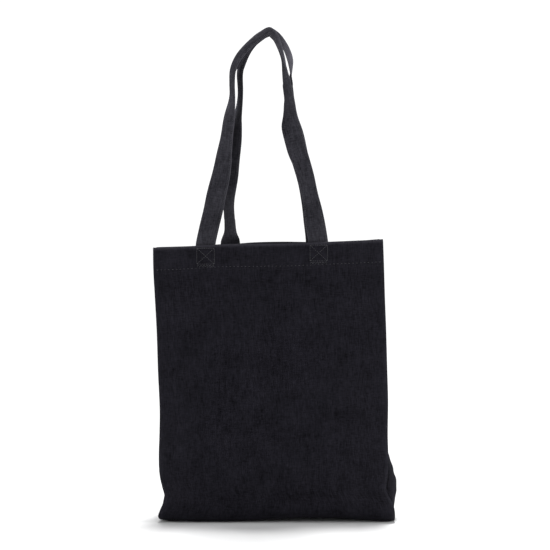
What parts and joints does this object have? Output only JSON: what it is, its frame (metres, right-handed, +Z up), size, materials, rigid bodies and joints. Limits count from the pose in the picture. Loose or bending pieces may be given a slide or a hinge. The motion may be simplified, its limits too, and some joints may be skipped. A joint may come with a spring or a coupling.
{
  "type": "canvas tote bag",
  "caption": "Open-topped canvas tote bag that stands on a gusseted base, with two long strap handles sewn inside the top hem that swing outwards and down.",
  "frame": {"origin": "middle of the base, on the surface that the bag stands on", "axes": "+Z up, front of the bag faces -Y, +X to the right of someone who looks at the front"},
  "size_m": [0.35, 0.08, 0.7555],
  "materials": {
    "canvas": "matt, heavy blue-black cotton canvas with a fine uneven weave",
    "hem_canvas": "the same canvas turned over at the mouth, slightly lighter where it is creased",
    "strap_canvas": "the same canvas folded into a strap, slightly lighter from handling",
    "thread": "matt black-grey sewing thread"
  },
  "bodies": {
    "bag": {"front_panel": "canvas", "back_panel": "canvas", "left_gusset": "canvas", "right_gusset": "canvas", "base_panel": "canvas", "front_hem": "hem_canvas", "back_hem": "hem_canvas", "left_hem": "hem_canvas", "right_hem": "hem_canvas", "front_left_seam": "canvas", "front_right_seam": "canvas", "back_left_seam": "canvas", "back_right_seam": "canvas", "front_base_seam": "canvas", "back_base_seam": "canvas", "left_base_seam": "canvas", "right_base_seam": "canvas", "front_handle_left_end": "strap_canvas", "front_handle_right_end": "strap_canvas", "back_handle_left_end": "strap_canvas", "back_handle_right_end": "strap_canvas", "front_left_cross_stitch": "thread", "front_right_cross_stitch": "thread", "back_left_cross_stitch": "thread", "back_right_cross_stitch": "thread", "front_hem_stitching": "thread", "back_hem_stitching": "thread"},
    "front_handle_loop": {"front_handle": "strap_canvas"},
    "back_handle_loop": {"back_handle": "strap_canvas"}
  },
  "joints": [
    {"name": "front_handle_swing", "type": "hinge", "parent": "bag", "child": "front_handle_loop", "pos_m": [0, -0.0135, 0.4245], "axis": [1, 0, 0], "range_deg": [0, 165]},
    {"name": "back_handle_swing", "type": "hinge", "parent": "bag", "child": "back_handle_loop", "pos_m": [0, 0.0135, 0.4245], "axis": [-1, 0, 0], "range_deg": [0, 165]}
  ]
}
